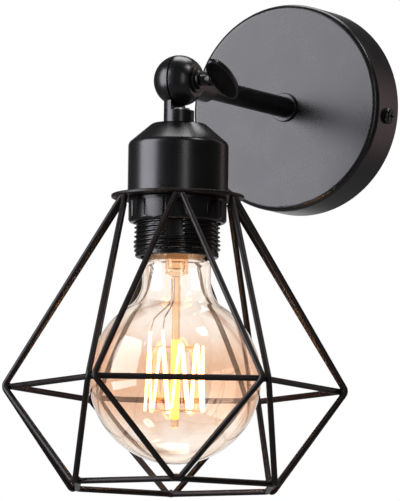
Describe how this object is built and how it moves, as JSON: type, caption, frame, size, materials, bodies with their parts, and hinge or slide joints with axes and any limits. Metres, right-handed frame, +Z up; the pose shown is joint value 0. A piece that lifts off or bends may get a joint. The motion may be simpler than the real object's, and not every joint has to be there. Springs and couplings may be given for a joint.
{
  "type": "wall lamp",
  "caption": "Wall light: round canopy, straight arm, split-ball swivel with wing screw, bell cap, open wire diamond cage and globe filament bulb.",
  "frame": {"origin": "middle of the wall bracket's back face, on the wall", "axes": "+Z up, +X to the right seen from the room, the wall is the plane Y = 0 and the light stands out towards -Y"},
  "size_m": [0.1412, 0.2074, 0.2408],
  "materials": {
    "black_paint": "satin black powder coat",
    "black_wire_paint": "satin black dipped paint, thicker at the welds",
    "black_phenolic": "moulded black phenolic with a soft gloss",
    "zinc_steel": "zinc-plated steel",
    "black_zinc": "black oxide steel",
    "brass": "bare brass",
    "nickel_brass": "nickel-plated brass",
    "porcelain": "glazed white porcelain",
    "white_nylon": "natural nylon",
    "lead_brown": "brown insulation",
    "fibre": "dark red-brown vulcanised fibre",
    "amber_glass": "clear amber-tinted blown glass",
    "stem_glass": "clear lead glass",
    "black_glass": "black insulating glass",
    "filament": "glowing carbon-style filament",
    "molybdenum": "dull support wire",
    "solder": "tin solder"
  },
  "bodies": {
    "wall_arm": {"canopy": "black_paint", "wall_bracket": "zinc_steel", "canopy_screws": "black_zinc", "earth_screw": "brass", "earth_cup_washer": "brass", "terminal_block": "white_nylon", "block_tubes": "brass", "block_screws": "zinc_steel", "arm_tube": "black_paint", "arm_collar": "black_paint", "arm_lock_washer": "zinc_steel", "arm_nut": "zinc_steel", "arm_leads": "lead_brown", "ball_half_arm": "black_paint"},
    "lamp_head": {"ball_half_lamp": "black_paint", "friction_ring": "fibre", "neck_nipple": "zinc_steel", "socket_cap": "black_paint", "cap_nut": "zinc_steel", "holder_dome": "black_phenolic", "holder_skirt": "black_phenolic", "holder_core": "porcelain", "holder_terminals": "brass", "terminal_screws": "zinc_steel", "head_leads": "lead_brown", "screw_shell": "nickel_brass", "centre_contact": "brass"},
    "pivot_washer": {"pivot_washer": "black_zinc"},
    "wing_screw": {"wing_screw": "black_paint"},
    "cage": {"cage_plate": "black_wire_paint", "cage_middle_ring": "black_wire_paint", "cage_bottom_ring": "black_wire_paint", "cage_diamond_1": "black_wire_paint", "cage_diamond_2": "black_wire_paint", "cage_diamond_3": "black_wire_paint", "cage_diamond_4": "black_wire_paint", "cage_diamond_5": "black_wire_paint", "cage_diamond_6": "black_wire_paint"},
    "shade_ring": {"shade_ring": "black_phenolic"},
    "bulb_tip": {"bulb_contact": "solder"},
    "bulb": {"bulb_insulator": "black_glass", "bulb_cap": "brass", "bulb_glass": "amber_glass", "bulb_stem": "stem_glass", "bulb_filament": "filament", "bulb_hooks": "molybdenum", "bulb_leads": "molybdenum"}
  },
  "joints": [
    {"name": "head_tilt", "type": "hinge", "parent": "wall_arm", "child": "lamp_head", "pos_m": [0, -0.127, 0], "axis": [-1, 0, 0], "range_deg": [-20, 180]},
    {"name": "wing_screw_travel", "type": "slide", "parent": "lamp_head", "child": "pivot_washer", "axis": [1, 0, 0], "range_m": [0, 0.007]},
    {"name": "wing_screw_turn", "type": "hinge", "parent": "pivot_washer", "child": "wing_screw", "pos_m": [0.012, -0.127, 0], "axis": [1, 0, 0], "range_deg": [0, 2520]},
    {"name": "cage_drop", "type": "slide", "parent": "lamp_head", "child": "cage", "axis": [0, 0, -1], "range_m": [0, 0.0273]},
    {"name": "shade_ring_turn", "type": "hinge", "parent": "cage", "child": "shade_ring", "pos_m": [0, -0.127, -0.06], "axis": [0, 0, -1], "range_deg": [0, 4680]},
    {"name": "bulb_travel", "type": "slide", "parent": "lamp_head", "child": "bulb_tip", "axis": [0, 0, -1], "range_m": [0, 0.0126]},
    {"name": "bulb_turn", "type": "hinge", "parent": "bulb_tip", "child": "bulb", "pos_m": [0, -0.127, -0.1], "axis": [0, 0, -1], "range_deg": [0, 1260]}
  ],
  "couplings": [
    {"joint": "wing_screw_turn", "follows": "wing_screw_travel", "rad_per_m": 6283.2},
    {"joint": "shade_ring_turn", "follows": "cage_drop", "rad_per_m": 2992},
    {"joint": "bulb_turn", "follows": "bulb_travel", "rad_per_m": 1745.3}
  ]
}
